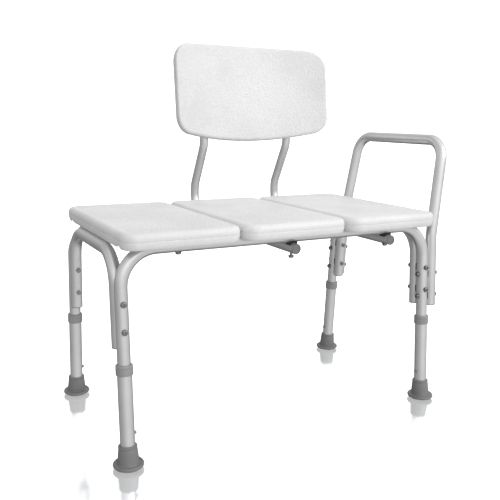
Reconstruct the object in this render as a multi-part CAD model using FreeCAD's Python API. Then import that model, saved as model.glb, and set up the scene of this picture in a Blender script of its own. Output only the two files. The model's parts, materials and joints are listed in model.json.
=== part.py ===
"""Bath transfer bench: tubular aluminium frame, three seat panels, backrest and one handrail.

Built in millimetres with +Z up and the bench's long side along X.  The bench faces -Y.
Each leg slides down its own tube through 101.6 mm and is held by a sprung button.
"""
import FreeCAD, Part
import math
import os

from FreeCAD import Placement, Rotation, Vector

os.makedirs("parts", exist_ok=True)

# Tubes
FRAME_TUBE = 25.4
FRAME_WALL = 1.6
LEG_TUBE = 28.6
LEG_BORE = 26.0
BACK_TUBE = 22.2
BACK_WALL = 1.5

# Main frames: one leaning inverted U at the front, one at the back
LEG_X = 366.7
LEG_FLOOR_Y = 197.3
SPLAY = 3.69
RAIL_Z = 419.5
MAIN_BEND = 71.5
INNER_TUBE_END = 53.0

# Side frames, tucked just inside the main legs and a little further out along the bench
SIDE_X = 368.3
SIDE_OFFSET = 26.2
SIDE_RAIL_Z = 409.3
SIDE_END = 230.0
SIDE_BEND = 65.0
SIDE_SCREWS = (267.8, 320.4)

# Handrail, outside the right-hand legs
GRIP_OFFSET = 25.9
GRIP_END = 229.0
GRIP_KINK_Z = 394.0
GRIP_TOP_Z = 614.4
GRIP_TOP_X = 425.5
GRIP_BEND = 48.0
GRIP_KINK_BEND = 60.0
GRIP_SCREWS = (251.5, 304.1)

# Sliding legs, measured along the leaning leg from the floor
TUBE_START = 10.0
TUBE_END = 200.0
COLLAR_START = 184.4
COLLAR_END = 204.4
COLLAR_RADIUS = 16.6
COLLAR_TOP_BEVEL = 1.5
COLLAR_LOW_BEVEL = 0.8
LOCK_HEIGHT = 67.2
HOLE_PITCH = 25.4
HOLE_COUNT = 5
HOLE_RADIUS = 3.7
BUTTON_RADIUS = 3.3
BUTTON_REACH = 18.3
BUTTON_BASE = 6.0
BUTTON_FLANGE = 4.3

# Rubber feet
FOOT_TOP = 45.5
FOOT_RADIUS = 30.0
FOOT_FLANGE = 14.4
FOOT_FLOOR = 8.0

# Seat
PANEL_WIDTH = 243.0
PANEL_PITCH = 250.0
PANEL_DEPTH = 431.0
SEAT_TOP = 455.3
SEAT_BOTTOM = 423.0
PANEL_CORNER = 30.0
PANEL_EDGE = 11.0
PANEL_LOW_EDGE = 3.5
SKIRT = 6.0
SKIRT_DROP = 2.6
GROOVE_Z = 438.6
GROOVE_HEIGHT = 1.4
GROOVE_DEPTH = 0.8
POCKET = 62.0
POCKET_CORNER = 8.0
POCKET_DEPTH = 21.5
POCKET_PITCH_X = 70.0
POCKET_PITCH_Y = 72.0

# Backrest and its two tubes
BACK_TUBE_Z = 394.8
BACK_TUBE_FRONT = -189.0
BACK_TUBE_REAR = 331.0
BACK_TUBE_BEND = 62.0
SWAN_BOTTOM_Z = 479.5
SWAN_TOP_Y = 269.0
SWAN_TOP_Z = 592.0
SWAN_BEND = 45.0
RECLINE = 7.0
POST_TOP = 204.0
BACKREST_WIDTH = 441.0
BACKREST_TOP = 254.0
BACKREST_BOTTOM = 6.5
BACKREST_CROWN = 1795.0
BACKREST_SAG = 1150.0
BACKREST_TOP_CORNER = 52.0
BACKREST_LOW_CORNER = 43.0
BACKREST_THICK = 25.0
BACKREST_CURVE = 450.0
BACKREST_FRONT = 14.0
BACKREST_EDGE = 8.0
BACKREST_SCREWS = (70.0, 176.0)

# Fasteners
SCREW = 5.9
SCREW_HOLE = 6.5
HEAD = 11.0
HEAD_HEIGHT = 3.6
WASHER = 12.6
WASHER_THICK = 1.2
NUT_FLATS = 10.0
NUT_HEIGHT = 4.0
SCREW_BEYOND_NUT = 1.0
LOOSE_DROP = 6.0
INSERT_RADIUS = 5.0
INSERT_DEPTH = 13.0
BACK_INSERT_RADIUS = 4.5
PLUG_DEPTH = 12.0
PLUG_RIM = 3.2
PLUG_DISH = 0.6

# Moulded spacers between paired tubes, and saddles between the rails and the backrest tubes
SPACER_WIDTH = 12.0
SPACER_HEIGHT = 15.0
SADDLE_SIZE = 18.0
SADDLE_LOW = 399.5
SADDLE_HIGH = 412.0

LEFT, RIGHT = -1, 1
FRONT, BACK = -1, 1
LEGS = {
    "front_left": (LEFT, FRONT),
    "front_right": (RIGHT, FRONT),
    "back_left": (LEFT, BACK),
    "back_right": (RIGHT, BACK),
}
PANELS = {"left": -PANEL_PITCH, "middle": 0.0, "right": PANEL_PITCH}
POSTS = {"left": 5.0, "right": 255.0}
SEAT_SCREWS = {"left": -PANEL_PITCH, "middle": POSTS["left"], "right": POSTS["right"]}

nodes = {}


def leg_y(z):
    """Distance of the leaning leg line from the centre plane at a height."""
    return LEG_FLOOR_Y - z * math.tan(math.radians(SPLAY))


RAIL_Y = leg_y(RAIL_Z)


def leg_placement(side, row):
    """Frame of one leg: Z runs up the leaning leg, Y points outward from the bench."""
    lean = Placement(Vector(0, 0, 0), Rotation(Vector(1, 0, 0), row * SPLAY))
    stand = Placement(Vector(side * LEG_X, row * LEG_FLOOR_Y, 0), Rotation())
    return stand.multiply(lean)


def post_placement(post_x):
    """Frame of one reclined post: Z runs up the post, -Y faces the sitter."""
    return Placement(Vector(post_x, SWAN_TOP_Y, SWAN_TOP_Z), Rotation(Vector(1, 0, 0), -RECLINE))


def placed(shape, placement):
    moved = shape.copy()
    moved.Placement = placement.multiply(moved.Placement)
    return moved


def cylinder(radius, start, end):
    """Cylinder between two points."""
    axis = end.sub(start)
    return Part.makeCylinder(radius, axis.Length, start, axis)


def revolved(profile):
    """Solid of revolution about Z from (radius, height) corners."""
    corners = [Vector(radius, 0, height) for radius, height in profile]
    face = Part.Face(Part.makePolygon(corners + corners[:1]))
    return face.revolve(Vector(0, 0, 0), Vector(0, 0, 1), 360)


def bent_path(points, bends):
    """Wire through the points with a round bend at each inner point."""
    edges = []
    start = points[0]
    for before, corner, after, bend in zip(points, points[1:], points[2:], bends):
        inward = corner.sub(before).normalize()
        outward = after.sub(corner).normalize()
        turn = inward.getAngle(outward)
        enter = corner - inward * (bend * math.tan(turn / 2))
        leave = corner + outward * (bend * math.tan(turn / 2))
        towards_centre = outward.sub(inward).normalize()
        middle = corner + towards_centre * (bend / math.cos(turn / 2) - bend)
        edges.append(Part.LineSegment(start, enter).toShape())
        edges.append(Part.Arc(enter, middle, leave).toShape())
        start = leave
    edges.append(Part.LineSegment(start, points[-1]).toShape())
    return Part.Wire(edges)


def bent_tube(points, bends, diameter, wall):
    """Round tube swept along the bent path through the points."""
    path = bent_path(points, bends)
    axis = points[1].sub(points[0])
    skin, bore = [
        path.makePipe(Part.Face(Part.Wire(Part.makeCircle(radius, points[0], axis))))
        for radius in (diameter / 2, diameter / 2 - wall)
    ]
    return skin.cut(bore)


def pan_head_screw(length):
    """Screw whose head sits above Z = 0 and whose shank runs down -Z."""
    head = Part.makeCylinder(HEAD / 2, HEAD_HEIGHT)
    head = head.makeFillet(2.0, [edge for edge in head.Edges if edge.BoundBox.ZMin > HEAD_HEIGHT - 0.1])
    for angle in (0, 90):
        slot = Part.makeBox(6.0, 1.2, 2.0, Vector(-3.0, -0.6, HEAD_HEIGHT - 1.8))
        slot.rotate(Vector(0, 0, 0), Vector(0, 0, 1), angle)
        head = head.cut(slot)
    shank = Part.makeCylinder(SCREW / 2, length, Vector(0, 0, -length))
    return head.fuse(shank).removeSplitter()


def flat_washer():
    """Washer resting on Z = 0."""
    disc = Part.makeCylinder(WASHER / 2, WASHER_THICK)
    return disc.cut(Part.makeCylinder(SCREW_HOLE / 2, WASHER_THICK))


def hex_nut():
    """Nut hanging below Z = 0."""
    radius = NUT_FLATS / 2 / math.cos(math.radians(30))
    corners = [
        Vector(radius * math.cos(math.radians(60 * step)), radius * math.sin(math.radians(60 * step)), 0)
        for step in range(7)
    ]
    body = Part.Face(Part.makePolygon(corners)).extrude(Vector(0, 0, -NUT_HEIGHT))
    return body.cut(Part.makeCylinder(SCREW / 2 + 0.05, NUT_HEIGHT, Vector(0, 0, -NUT_HEIGHT)))


def screw_frame(head_point, direction):
    """Placement that puts a screw's head at a point with its shank along a direction."""
    return Placement(head_point, Rotation(Vector(0, 0, -1), direction))


def plug(diameter, wall, cap_height):
    """Tube plug: stem down -Z inside the tube, and a dished cap with a round rim above Z = 0."""
    stem = Part.makeCylinder(diameter / 2 - wall, PLUG_DEPTH, Vector(0, 0, -PLUG_DEPTH))
    cap = Part.makeCylinder(diameter / 2, cap_height)
    rim = [edge for edge in cap.Edges if edge.BoundBox.ZMin > cap_height - 0.1]
    dish = Part.makeCylinder(diameter / 2 - PLUG_RIM, PLUG_DISH, Vector(0, 0, cap_height - PLUG_DISH))
    return stem.fuse(cap.makeFillet(cap_height * 0.8, rim).cut(dish)).removeSplitter()


def leg_end_frame(x, y, z, row):
    """Placement of a plug in the lower end of a tube that runs along a leaning leg."""
    lean = math.radians(SPLAY)
    along = Vector(0, row * math.sin(lean), -math.cos(lean))
    return Placement(Vector(x, row * y, z), Rotation(Vector(0, 0, 1), along))


def spacer_between(first, second, direction, height, sideways=Vector(0, 0, 0)):
    """Moulded spacer filling the gap between two tubes that run up a leg side by side.

    The tube centres lie on the given horizontal direction of the leg frame, with the
    second one moved a little sideways from it.
    """
    gap_middle = direction * ((first + second) / 2)
    block = Part.makeBox(
        SPACER_WIDTH if direction.x == 0 else abs(second - first) - 4.0,
        SPACER_WIDTH if direction.y == 0 else abs(second - first) - 4.0,
        SPACER_HEIGHT,
    )
    block.translate(gap_middle + Vector(0, 0, height) - block.BoundBox.Center)
    for centre in (direction * first, direction * second + sideways):
        foot = centre + Vector(0, 0, height - SPACER_HEIGHT)
        block = block.cut(Part.makeCylinder(FRAME_TUBE / 2, 2 * SPACER_HEIGHT, foot))
    middle = Vector(0, 0, height)
    return block.cut(cylinder(SCREW_HOLE / 2, middle - direction * 40, middle + direction * 40))


# Main frames ---------------------------------------------------------------------------------
for row_name, row in (("front", FRONT), ("back", BACK)):
    corners = [
        Vector(-LEG_X, row * leg_y(INNER_TUBE_END), INNER_TUBE_END),
        Vector(-LEG_X, row * RAIL_Y, RAIL_Z),
        Vector(LEG_X, row * RAIL_Y, RAIL_Z),
        Vector(LEG_X, row * leg_y(INNER_TUBE_END), INNER_TUBE_END),
    ]
    tube = bent_tube(corners, [MAIN_BEND, MAIN_BEND], FRAME_TUBE, FRAME_WALL)
    for side in (LEFT, RIGHT):
        leg = leg_placement(side, row)
        cutters = [
            cylinder(SCREW_HOLE / 2, Vector(0, -20, height), Vector(0, 20, height))
            for height in SIDE_SCREWS
        ]
        if side == RIGHT:
            cutters += [
                cylinder(SCREW_HOLE / 2, Vector(-20, 0, height), Vector(20, 0, height))
                for height in GRIP_SCREWS
            ]
        lock = cylinder(HOLE_RADIUS, Vector(0, 0, LOCK_HEIGHT), Vector(-side * 20, 0, LOCK_HEIGHT))
        for cutter in cutters + [lock]:
            tube = tube.cut(placed(cutter, leg))
    for screw_x in SEAT_SCREWS.values():
        centre = Vector(screw_x, row * RAIL_Y, RAIL_Z)
        tube = tube.cut(cylinder(SCREW_HOLE / 2, centre - Vector(0, 0, 20), centre + Vector(0, 0, 20)))
    nodes[row_name + "_frame"] = tube

# Side frames ---------------------------------------------------------------------------------
def side_leg_y(z):
    return leg_y(z) - SIDE_OFFSET / math.cos(math.radians(SPLAY))


side_end_z = SIDE_END * math.cos(math.radians(SPLAY))
side_plugs = []
for side_name, side in (("left", LEFT), ("right", RIGHT)):
    x = side * SIDE_X
    corners = [
        Vector(x, -side_leg_y(side_end_z), side_end_z),
        Vector(x, -side_leg_y(SIDE_RAIL_Z), SIDE_RAIL_Z),
        Vector(x, side_leg_y(SIDE_RAIL_Z), SIDE_RAIL_Z),
        Vector(x, side_leg_y(side_end_z), side_end_z),
    ]
    tube = bent_tube(corners, [SIDE_BEND, SIDE_BEND], FRAME_TUBE, FRAME_WALL)
    for row in (FRONT, BACK):
        leg = leg_placement(side, row)
        for height in SIDE_SCREWS:
            hole = cylinder(
                SCREW_HOLE / 2,
                Vector(0, -row * (SIDE_OFFSET - 20), height),
                Vector(0, -row * (SIDE_OFFSET + 20), height),
            )
            tube = tube.cut(placed(hole, leg))
        seat = leg_end_frame(x, side_leg_y(side_end_z), side_end_z, row)
        side_plugs.append(placed(plug(FRAME_TUBE, FRAME_WALL, 1.6), seat))
    nodes[side_name + "_side_frame"] = tube
nodes["side_frame_plugs"] = Part.makeCompound(side_plugs)

screws, washers, nuts, spacers = [], [], [], []
reach = FRAME_TUBE / 2 + WASHER_THICK
for side, row in LEGS.values():
    leg = leg_placement(side, row)
    for height in SIDE_SCREWS:
        inward = Vector(0, -row, 0)
        outer_face = screw_frame(Vector(0, row * FRAME_TUBE / 2, height), inward)
        head_seat = screw_frame(Vector(0, row * reach, height), inward)
        nut_seat = screw_frame(Vector(0, -row * (SIDE_OFFSET + FRAME_TUBE / 2), height), inward)
        length = reach + SIDE_OFFSET + FRAME_TUBE / 2 + NUT_HEIGHT + SCREW_BEYOND_NUT
        screws.append(placed(pan_head_screw(length), leg.multiply(head_seat)))
        washers.append(placed(flat_washer(), leg.multiply(outer_face)))
        nuts.append(placed(hex_nut(), leg.multiply(nut_seat)))
        sideways = Vector(side * (SIDE_X - LEG_X), 0, 0)
        spacer = spacer_between(0, -row * SIDE_OFFSET, Vector(0, 1, 0), height, sideways)
        spacers.append(placed(spacer, leg))
nodes["side_frame_screws"] = Part.makeCompound(screws)
nodes["side_frame_washers"] = Part.makeCompound(washers)
nodes["side_frame_nuts"] = Part.makeCompound(nuts)
nodes["side_frame_spacers"] = Part.makeCompound(spacers)

# Handrail ------------------------------------------------------------------------------------
grip_x = LEG_X + GRIP_OFFSET
grip_end_z = GRIP_END * math.cos(math.radians(SPLAY))
front_half = [
    Vector(grip_x, -leg_y(grip_end_z), grip_end_z),
    Vector(grip_x, -leg_y(GRIP_KINK_Z), GRIP_KINK_Z),
    Vector(GRIP_TOP_X, -leg_y(GRIP_TOP_Z), GRIP_TOP_Z),
]
back_half = [Vector(point.x, -point.y, point.z) for point in reversed(front_half)]
grip_bends = [GRIP_KINK_BEND, GRIP_BEND, GRIP_BEND, GRIP_KINK_BEND]
tube = bent_tube(front_half + back_half, grip_bends, FRAME_TUBE, FRAME_WALL)
screws, washers, nuts, spacers, plugs = [], [], [], [], []
for row in (FRONT, BACK):
    leg = leg_placement(RIGHT, row)
    for height in GRIP_SCREWS:
        hole = cylinder(
            SCREW_HOLE / 2, Vector(GRIP_OFFSET - 20, 0, height), Vector(GRIP_OFFSET + 20, 0, height)
        )
        tube = tube.cut(placed(hole, leg))
        outward = Vector(1, 0, 0)
        inner_face = screw_frame(Vector(-FRAME_TUBE / 2, 0, height), outward)
        head_seat = screw_frame(Vector(-reach, 0, height), outward)
        nut_seat = screw_frame(Vector(GRIP_OFFSET + FRAME_TUBE / 2, 0, height), outward)
        length = reach + GRIP_OFFSET + FRAME_TUBE / 2 + NUT_HEIGHT + SCREW_BEYOND_NUT
        screws.append(placed(pan_head_screw(length), leg.multiply(head_seat)))
        washers.append(placed(flat_washer(), leg.multiply(inner_face)))
        nuts.append(placed(hex_nut(), leg.multiply(nut_seat)))
        spacers.append(placed(spacer_between(0, GRIP_OFFSET, outward, height), leg))
    seat = leg_end_frame(grip_x, leg_y(grip_end_z), grip_end_z, row)
    plugs.append(placed(plug(FRAME_TUBE, FRAME_WALL, 1.6), seat))
nodes["handrail"] = tube
nodes["handrail_screws"] = Part.makeCompound(screws)
nodes["handrail_washers"] = Part.makeCompound(washers)
nodes["handrail_nuts"] = Part.makeCompound(nuts)
nodes["handrail_spacers"] = Part.makeCompound(spacers)
nodes["handrail_plugs"] = Part.makeCompound(plugs)

# Seat panels ---------------------------------------------------------------------------------
rail_crown = RAIL_Z + FRAME_TUBE / 2


def rounded_slab(width, depth, low, high, corner):
    slab = Part.makeBox(width, depth, high - low, Vector(-width / 2, -depth / 2, low))
    upright = [edge for edge in slab.Edges if edge.BoundBox.ZLength > (high - low) - 0.1]
    return slab.makeFillet(corner, upright)


def seat_panel(screw_x):
    """One moulded seat panel centred on X = 0, with its two screw sockets at screw_x."""
    panel = rounded_slab(PANEL_WIDTH, PANEL_DEPTH, SEAT_BOTTOM, SEAT_TOP, PANEL_CORNER)
    top = [edge for edge in panel.Edges if edge.BoundBox.ZMin > SEAT_TOP - 0.1]
    panel = panel.makeFillet(PANEL_EDGE, top)
    bottom = [edge for edge in panel.Edges if edge.BoundBox.ZMax < SEAT_BOTTOM + 0.1]
    panel = panel.makeFillet(PANEL_LOW_EDGE, bottom)

    groove_low, groove_high = GROOVE_Z - GROOVE_HEIGHT / 2, GROOVE_Z + GROOVE_HEIGHT / 2
    band = rounded_slab(PANEL_WIDTH + 10, PANEL_DEPTH + 10, groove_low, groove_high, PANEL_CORNER + 5)
    core = rounded_slab(
        PANEL_WIDTH - 2 * GROOVE_DEPTH, PANEL_DEPTH - 2 * GROOVE_DEPTH,
        groove_low - 1, groove_high + 1, PANEL_CORNER - GROOVE_DEPTH,
    )
    panel = panel.cut(band.cut(core))

    field = rounded_slab(
        PANEL_WIDTH - 2 * SKIRT, PANEL_DEPTH - 2 * SKIRT,
        SEAT_BOTTOM - 1, SEAT_BOTTOM + SKIRT_DROP, PANEL_CORNER - SKIRT,
    )
    panel = panel.cut(field)
    ceiling = SEAT_BOTTOM + SKIRT_DROP + POCKET_DEPTH
    for column in (-1, 0, 1):
        for line in (-1.5, -0.5, 0.5, 1.5):
            pocket = rounded_slab(POCKET, POCKET, SEAT_BOTTOM - 1, ceiling, POCKET_CORNER)
            pocket.translate(Vector(column * POCKET_PITCH_X, line * POCKET_PITCH_Y, 0))
            panel = panel.cut(pocket)
    for row in (FRONT, BACK):
        rail_point = Vector(PANEL_WIDTH, row * RAIL_Y, RAIL_Z)
        channel = cylinder(FRAME_TUBE / 2, rail_point - Vector(2 * PANEL_WIDTH, 0, 0), rail_point)
        mouth = Vector(screw_x, row * RAIL_Y, rail_crown - 3)
        panel = panel.cut(channel).cut(Part.makeCylinder(INSERT_RADIUS, INSERT_DEPTH + 3, mouth))
    return panel


def threaded_insert():
    """Brass sleeve with a collar of grooves, standing on Z = 0."""
    sleeve = Part.makeCylinder(INSERT_RADIUS, INSERT_DEPTH - 1)
    for height in (3.0, 6.5):
        ring = Part.makeCylinder(INSERT_RADIUS + 1, 1.2, Vector(0, 0, height))
        sleeve = sleeve.cut(ring.cut(Part.makeCylinder(INSERT_RADIUS - 0.6, 1.2, Vector(0, 0, height))))
    return sleeve.cut(Part.makeCylinder(SCREW / 2 + 0.05, INSERT_DEPTH))


seat_screws, seat_washers, inserts, saddles = [], [], [], []
for name, panel_x in PANELS.items():
    screw_x = SEAT_SCREWS[name]
    moulding = seat_panel(screw_x - panel_x)
    nodes["seat_panel_" + name] = placed(moulding, Placement(Vector(panel_x, 0, 0), Rotation()))
    for row in (FRONT, BACK):
        centre_y = row * RAIL_Y
        insert_seat = Placement(Vector(screw_x, centre_y, rail_crown + 0.5), Rotation())
        inserts.append(placed(threaded_insert(), insert_seat))
        if screw_x in POSTS.values():
            under = BACK_TUBE_Z - BACK_TUBE / 2
        else:
            under = RAIL_Z - FRAME_TUBE / 2
        drop = LOOSE_DROP if (name, row) == ("middle", FRONT) else 0.0
        head_z = under - WASHER_THICK - drop
        length = rail_crown + 9 - head_z
        up = Vector(0, 0, 1)
        head_seat = screw_frame(Vector(screw_x, centre_y, head_z), up)
        washer_seat = screw_frame(Vector(screw_x, centre_y, head_z + WASHER_THICK), up)
        seat_screws.append(placed(pan_head_screw(length), head_seat))
        seat_washers.append(placed(flat_washer(), washer_seat))
nodes["seat_inserts"] = Part.makeCompound(inserts)
nodes["seat_screws"] = Part.makeCompound(seat_screws)
nodes["seat_washers"] = Part.makeCompound(seat_washers)

# Backrest tubes ------------------------------------------------------------------------------
def tube_saddle(post_x, row):
    """Moulded saddle that seats a rail on the backrest tube crossing under it."""
    half = SADDLE_SIZE / 2
    corner = Vector(post_x - half, row * RAIL_Y - half, SADDLE_LOW)
    saddle = Part.makeBox(SADDLE_SIZE, SADDLE_SIZE, SADDLE_HIGH - SADDLE_LOW, corner)
    rail_start = Vector(post_x - 30, row * RAIL_Y, RAIL_Z)
    runner_start = Vector(post_x, row * RAIL_Y - 30, BACK_TUBE_Z)
    saddle = saddle.cut(cylinder(FRAME_TUBE / 2, rail_start, rail_start + Vector(60, 0, 0)))
    saddle = saddle.cut(cylinder(BACK_TUBE / 2, runner_start, runner_start + Vector(0, 60, 0)))
    return saddle.cut(Part.makeCylinder(SCREW_HOLE / 2, 60, Vector(post_x, row * RAIL_Y, BACK_TUBE_Z)))


post_plugs = []
for name, post_x in POSTS.items():
    post = post_placement(post_x)
    corners = [
        Vector(post_x, BACK_TUBE_FRONT, BACK_TUBE_Z),
        Vector(post_x, BACK_TUBE_REAR, BACK_TUBE_Z),
        Vector(post_x, BACK_TUBE_REAR, SWAN_BOTTOM_Z),
        Vector(post_x, SWAN_TOP_Y, SWAN_TOP_Z),
        post.multVec(Vector(0, 0, POST_TOP)),
    ]
    tube = bent_tube(corners, [BACK_TUBE_BEND, SWAN_BEND, SWAN_BEND], BACK_TUBE, BACK_WALL)
    for row in (FRONT, BACK):
        centre = Vector(post_x, row * RAIL_Y, BACK_TUBE_Z)
        tube = tube.cut(cylinder(SCREW_HOLE / 2, centre - Vector(0, 0, 20), centre + Vector(0, 0, 20)))
        saddles.append(tube_saddle(post_x, row))
    for height in BACKREST_SCREWS:
        hole = cylinder(SCREW_HOLE / 2, Vector(0, -20, height), Vector(0, 20, height))
        tube = tube.cut(placed(hole, post))
    nodes["backrest_tube_" + name] = tube
    cap = plug(BACK_TUBE, BACK_WALL, 2.4)
    front_end = Placement(corners[0], Rotation(Vector(0, 0, 1), Vector(0, -1, 0)))
    top_end = post.multiply(Placement(Vector(0, 0, POST_TOP), Rotation()))
    post_plugs += [placed(cap, front_end), placed(cap, top_end)]
nodes["tube_saddles"] = Part.makeCompound(saddles)
nodes["backrest_tube_plugs"] = Part.makeCompound(post_plugs)

# Backrest panel ------------------------------------------------------------------------------
def backrest_outline():
    """Prism of the panel's front view: arched top, bowed bottom and four round corners."""
    half = BACKREST_WIDTH / 2
    top_z = BACKREST_TOP - BACKREST_CROWN + math.sqrt(BACKREST_CROWN ** 2 - half ** 2)
    low_z = BACKREST_BOTTOM + BACKREST_SAG - math.sqrt(BACKREST_SAG ** 2 - half ** 2)
    top_left, top_right = Vector(-half, 0, top_z), Vector(half, 0, top_z)
    low_left, low_right = Vector(-half, 0, low_z), Vector(half, 0, low_z)
    wire = Part.Wire([
        Part.Arc(top_left, Vector(0, 0, BACKREST_TOP), top_right).toShape(),
        Part.makeLine(top_right, low_right),
        Part.Arc(low_right, Vector(0, 0, BACKREST_BOTTOM), low_left).toShape(),
        Part.makeLine(low_left, top_left),
    ])
    slab = Part.Face(wire).extrude(Vector(0, 200, 0))
    slab.translate(Vector(0, -150, 0))
    for corner_z, radius in ((top_z, BACKREST_TOP_CORNER), (low_z, BACKREST_LOW_CORNER)):
        upright = [
            edge for edge in slab.Edges
            if edge.BoundBox.YLength > 199 and abs(edge.BoundBox.Center.z - corner_z) < 0.1
        ]
        slab = slab.makeFillet(radius, upright)
    return slab


centre_x = (POSTS["left"] + POSTS["right"]) / 2
back_frame = post_placement(centre_x)
half_gap = (POSTS["right"] - POSTS["left"]) / 2
pivot_y = -BACKREST_FRONT - BACKREST_CURVE
curved = Part.makeCylinder(BACKREST_CURVE + BACKREST_THICK, 300, Vector(0, pivot_y, -20))
curved = curved.cut(Part.makeCylinder(BACKREST_CURVE, 300, Vector(0, pivot_y, -20)))
panel = backrest_outline().common(curved)
rims = []
for edge in panel.Edges:
    middle = edge.valueAt((edge.FirstParameter + edge.LastParameter) / 2)
    depth = math.hypot(middle.x, middle.y - pivot_y) - BACKREST_CURVE
    if min(abs(depth), abs(depth - BACKREST_THICK)) < 0.01:
        rims.append(edge)
panel = panel.makeFillet(BACKREST_EDGE, rims)
backrest_screws, backrest_inserts = [], []
rear = BACK_TUBE / 2
for side in (LEFT, RIGHT):
    line_x = side * half_gap
    channel = Part.makeCylinder(BACK_TUBE / 2, POST_TOP + 15, Vector(line_x, 0, -10))
    panel = panel.cut(channel)
    for height in BACKREST_SCREWS:
        axis_start = Vector(line_x, 0, height)
        panel = panel.cut(cylinder(BACK_INSERT_RADIUS, axis_start, axis_start - Vector(0, rear + 14, 0)))
        sleeve = cylinder(BACK_INSERT_RADIUS, axis_start - Vector(0, 12, 0), axis_start - Vector(0, 24, 0))
        sleeve = sleeve.cut(cylinder(SCREW / 2 + 0.05, axis_start, axis_start - Vector(0, 40, 0)))
        backrest_inserts.append(placed(sleeve, back_frame))
        head = screw_frame(Vector(line_x, rear + WASHER_THICK, height), Vector(0, -1, 0))
        face = screw_frame(Vector(line_x, rear, height), Vector(0, -1, 0))
        backrest_screws.append(placed(pan_head_screw(rear + WASHER_THICK + 23), back_frame.multiply(head)))
        backrest_screws.append(placed(flat_washer(), back_frame.multiply(face)))
nodes["backrest_panel"] = placed(panel, back_frame)
nodes["backrest_screws"] = Part.makeCompound(backrest_screws)
nodes["backrest_inserts"] = Part.makeCompound(backrest_inserts)

# Sliding legs, feet and lock buttons ---------------------------------------------------------
def foot_profile():
    """Rubber foot below the cup: a flared lip over a smaller sole with two tread grooves."""
    return [
        (0, 0), (7.6, 0), (8.4, 1.2), (10.2, 1.2), (11.0, 0), (14.6, 0), (15.4, 1.2), (17.2, 1.2),
        (18.0, 0), (20.4, 0.3), (23.8, 1.7), (27.2, 3.8), (29.2, 5.5), (FOOT_RADIUS, 7.2), (29.7, 8.6),
        (28.7, 9.8), (27.0, 10.5), (24.6, 11.0), (22.4, 11.9), (20.9, 13.1), (20.4, FOOT_FLANGE),
        (0, FOOT_FLANGE),
    ]


def cup_profile():
    """Tapered cup round the tube end, with a rolled rim and one groove under it."""
    return [
        (0, 6), (21.0, 6), (20.8, 16), (18.4, 39.0), (17.7, 39.7), (17.7, 40.7), (18.5, 41.5),
        (18.6, 44.1), (17.9, 45.2), (17.2, FOOT_TOP), (0, FOOT_TOP),
    ]


def lock_spring(side):
    """Folded strip inside the inner tube that pushes the button outward."""
    outline = [
        Vector(-10.2, 0, -12), Vector(-9.6, 0, -12), Vector(-2.0, 0, 27.2), Vector(5.0, 0, 2),
        Vector(5.0, 0, -5), Vector(5.6, 0, -5), Vector(5.6, 0, 2.2), Vector(-2.0, 0, 29.4),
        Vector(-10.2, 0, -11),
    ]
    strip = Part.Face(Part.makePolygon(outline + outline[:1])).extrude(Vector(0, 6, 0))
    strip.translate(Vector(0, -3, LOCK_HEIGHT))
    return strip if side == LEFT else strip.mirror(Vector(0, 0, 0), Vector(1, 0, 0))


for leg_name, (side, row) in LEGS.items():
    leg = leg_placement(side, row)
    tube = Part.makeCylinder(LEG_TUBE / 2, TUBE_END - TUBE_START, Vector(0, 0, TUBE_START))
    tube = tube.cut(Part.makeCylinder(LEG_BORE / 2, TUBE_END, Vector(0, 0, 0)))
    for step in range(HOLE_COUNT):
        height = LOCK_HEIGHT + step * HOLE_PITCH
        tube = tube.cut(cylinder(HOLE_RADIUS, Vector(0, 0, height), Vector(-side * 20, 0, height)))
    nodes["leg_tube_" + leg_name] = placed(tube, leg)

    collar = Part.makeCylinder(COLLAR_RADIUS, COLLAR_END - COLLAR_START, Vector(0, 0, COLLAR_START))
    top = [edge for edge in collar.Edges if edge.BoundBox.ZMin > COLLAR_END - 0.1]
    collar = collar.makeChamfer(COLLAR_TOP_BEVEL, top)
    bottom = [edge for edge in collar.Edges if edge.BoundBox.ZMax < COLLAR_START + 0.1]
    collar = collar.makeChamfer(COLLAR_LOW_BEVEL, bottom)
    collar = collar.cut(Part.makeCylinder(LEG_TUBE / 2, TUBE_END))
    collar = collar.cut(Part.makeCylinder(LEG_BORE / 2, COLLAR_END + 1))
    nodes["leg_collar_" + leg_name] = placed(collar, leg)

    upright = Placement(Vector(side * LEG_X, row * LEG_FLOOR_Y, 0), Rotation())
    foot = placed(revolved(foot_profile()), upright).fuse(placed(revolved(cup_profile()), leg))
    bore = Part.makeCylinder(LEG_TUBE / 2, FOOT_TOP, Vector(0, 0, FOOT_FLOOR))
    nodes["rubber_foot_" + leg_name] = foot.cut(placed(bore, leg)).removeSplitter()
    disc = Part.makeCylinder(LEG_TUBE / 2 - 0.3, TUBE_START - FOOT_FLOOR, Vector(0, 0, FOOT_FLOOR))
    nodes["foot_washer_" + leg_name] = placed(disc, leg)

    inward = Vector(-side, 0, 0)
    pin_length = BUTTON_REACH - BUTTON_BASE
    pin = Part.makeCylinder(BUTTON_RADIUS, pin_length)
    tip = [edge for edge in pin.Edges if edge.BoundBox.ZMin > pin_length - 0.1]
    pin = pin.makeFillet(2.0, tip).fuse(Part.makeCylinder(BUTTON_FLANGE, 1.5, Vector(0, 0, 2.2)))
    pin_base = inward * BUTTON_BASE + Vector(0, 0, LOCK_HEIGHT)
    aim = Placement(pin_base, Rotation(Vector(0, 0, 1), inward))
    nodes["snap_button_" + leg_name] = placed(pin.removeSplitter(), leg.multiply(aim))
    nodes["button_spring_" + leg_name] = placed(lock_spring(side), leg)

# Put the bottom centre of the whole bench at the origin, then write one file per node
low_x, high_x = -LEG_X - FOOT_RADIUS, GRIP_TOP_X + FRAME_TUBE / 2
low_y, high_y = -LEG_FLOOR_Y - FOOT_RADIUS, BACK_TUBE_REAR + BACK_TUBE / 2
shift = Vector(-(low_x + high_x) / 2, -(low_y + high_y) / 2, 0)
for name, shape in nodes.items():
    shape.translate(shift)
    shape.exportStep("parts/" + name + ".step")
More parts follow.
